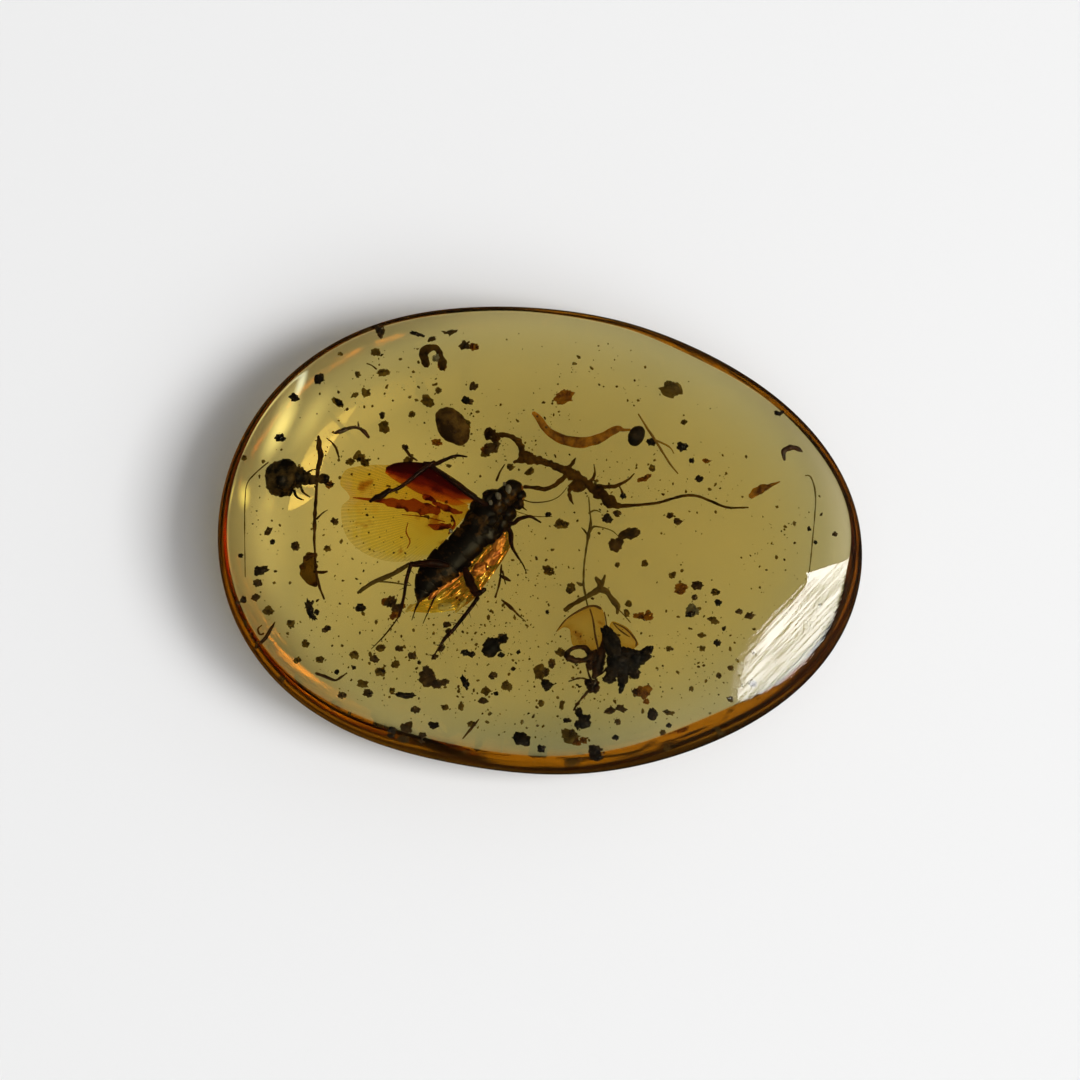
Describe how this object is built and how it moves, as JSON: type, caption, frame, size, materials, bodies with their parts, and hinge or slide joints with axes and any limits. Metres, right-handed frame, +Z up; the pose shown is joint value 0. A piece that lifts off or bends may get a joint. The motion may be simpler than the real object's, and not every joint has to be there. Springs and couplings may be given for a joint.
{
  "type": "insect in amber",
  "caption": "Polished oval amber stone, domed on top and flat beneath, with a fossil cockroach, a small fly and forest litter sealed inside.",
  "frame": {"origin": "under the middle of the stone, on the flat face that it rests on", "axes": "+X along the stone's length, towards its narrower end with the polished flat; +Y away from the viewer, towards the face's upper edge in the picture; +Z up through the domed face"},
  "size_m": [0.0321, 0.0236, 0.0064],
  "materials": {
    "amber": "polished clear resin, honey yellow and greenish",
    "insect_brown": "glossy dark red-brown shell",
    "fly_brown": "thin brownish yellow wing",
    "bark_olive": "dull olive brown stem",
    "husk_brown": "dull orange-brown husk",
    "litter_black": "dull black litter",
    "straw_gold": "pale golden straw"
  },
  "bodies": {
    "root": {"amber_lower": "amber", "amber_upper": "amber", "cockroach": "insect_brown", "small_fly": "fly_brown", "beetle": "litter_black", "twig_main": "bark_olive", "twig_rootlet": "bark_olive", "twig_left_fork": "bark_olive", "twig_right_fork": "bark_olive", "forked_rootlet": "bark_olive", "left_stalk": "bark_olive", "hair_strand": "bark_olive", "long_stalk": "bark_olive", "seed_pod": "husk_brown", "bark_grain": "husk_brown", "curled_flake": "husk_brown", "straw": "straw_gold", "leaf_sliver": "straw_gold", "seed": "litter_black", "husk": "litter_black", "edge_splinter": "litter_black", "comma_splinter": "litter_black", "litter_clump": "litter_black", "crumb_1": "litter_black", "crumb_2": "litter_black", "crumb_3": "litter_black", "crumb_4": "litter_black", "crumb_5": "litter_black", "crumb_6": "litter_black", "crumb_7": "litter_black", "crumb_8": "litter_black", "crumb_9": "litter_black", "crumb_10": "litter_black", "crumb_11": "litter_black", "crumb_12": "litter_black", "crumb_13": "litter_black", "crumb_14": "litter_black"}
  },
  "joints": []
}
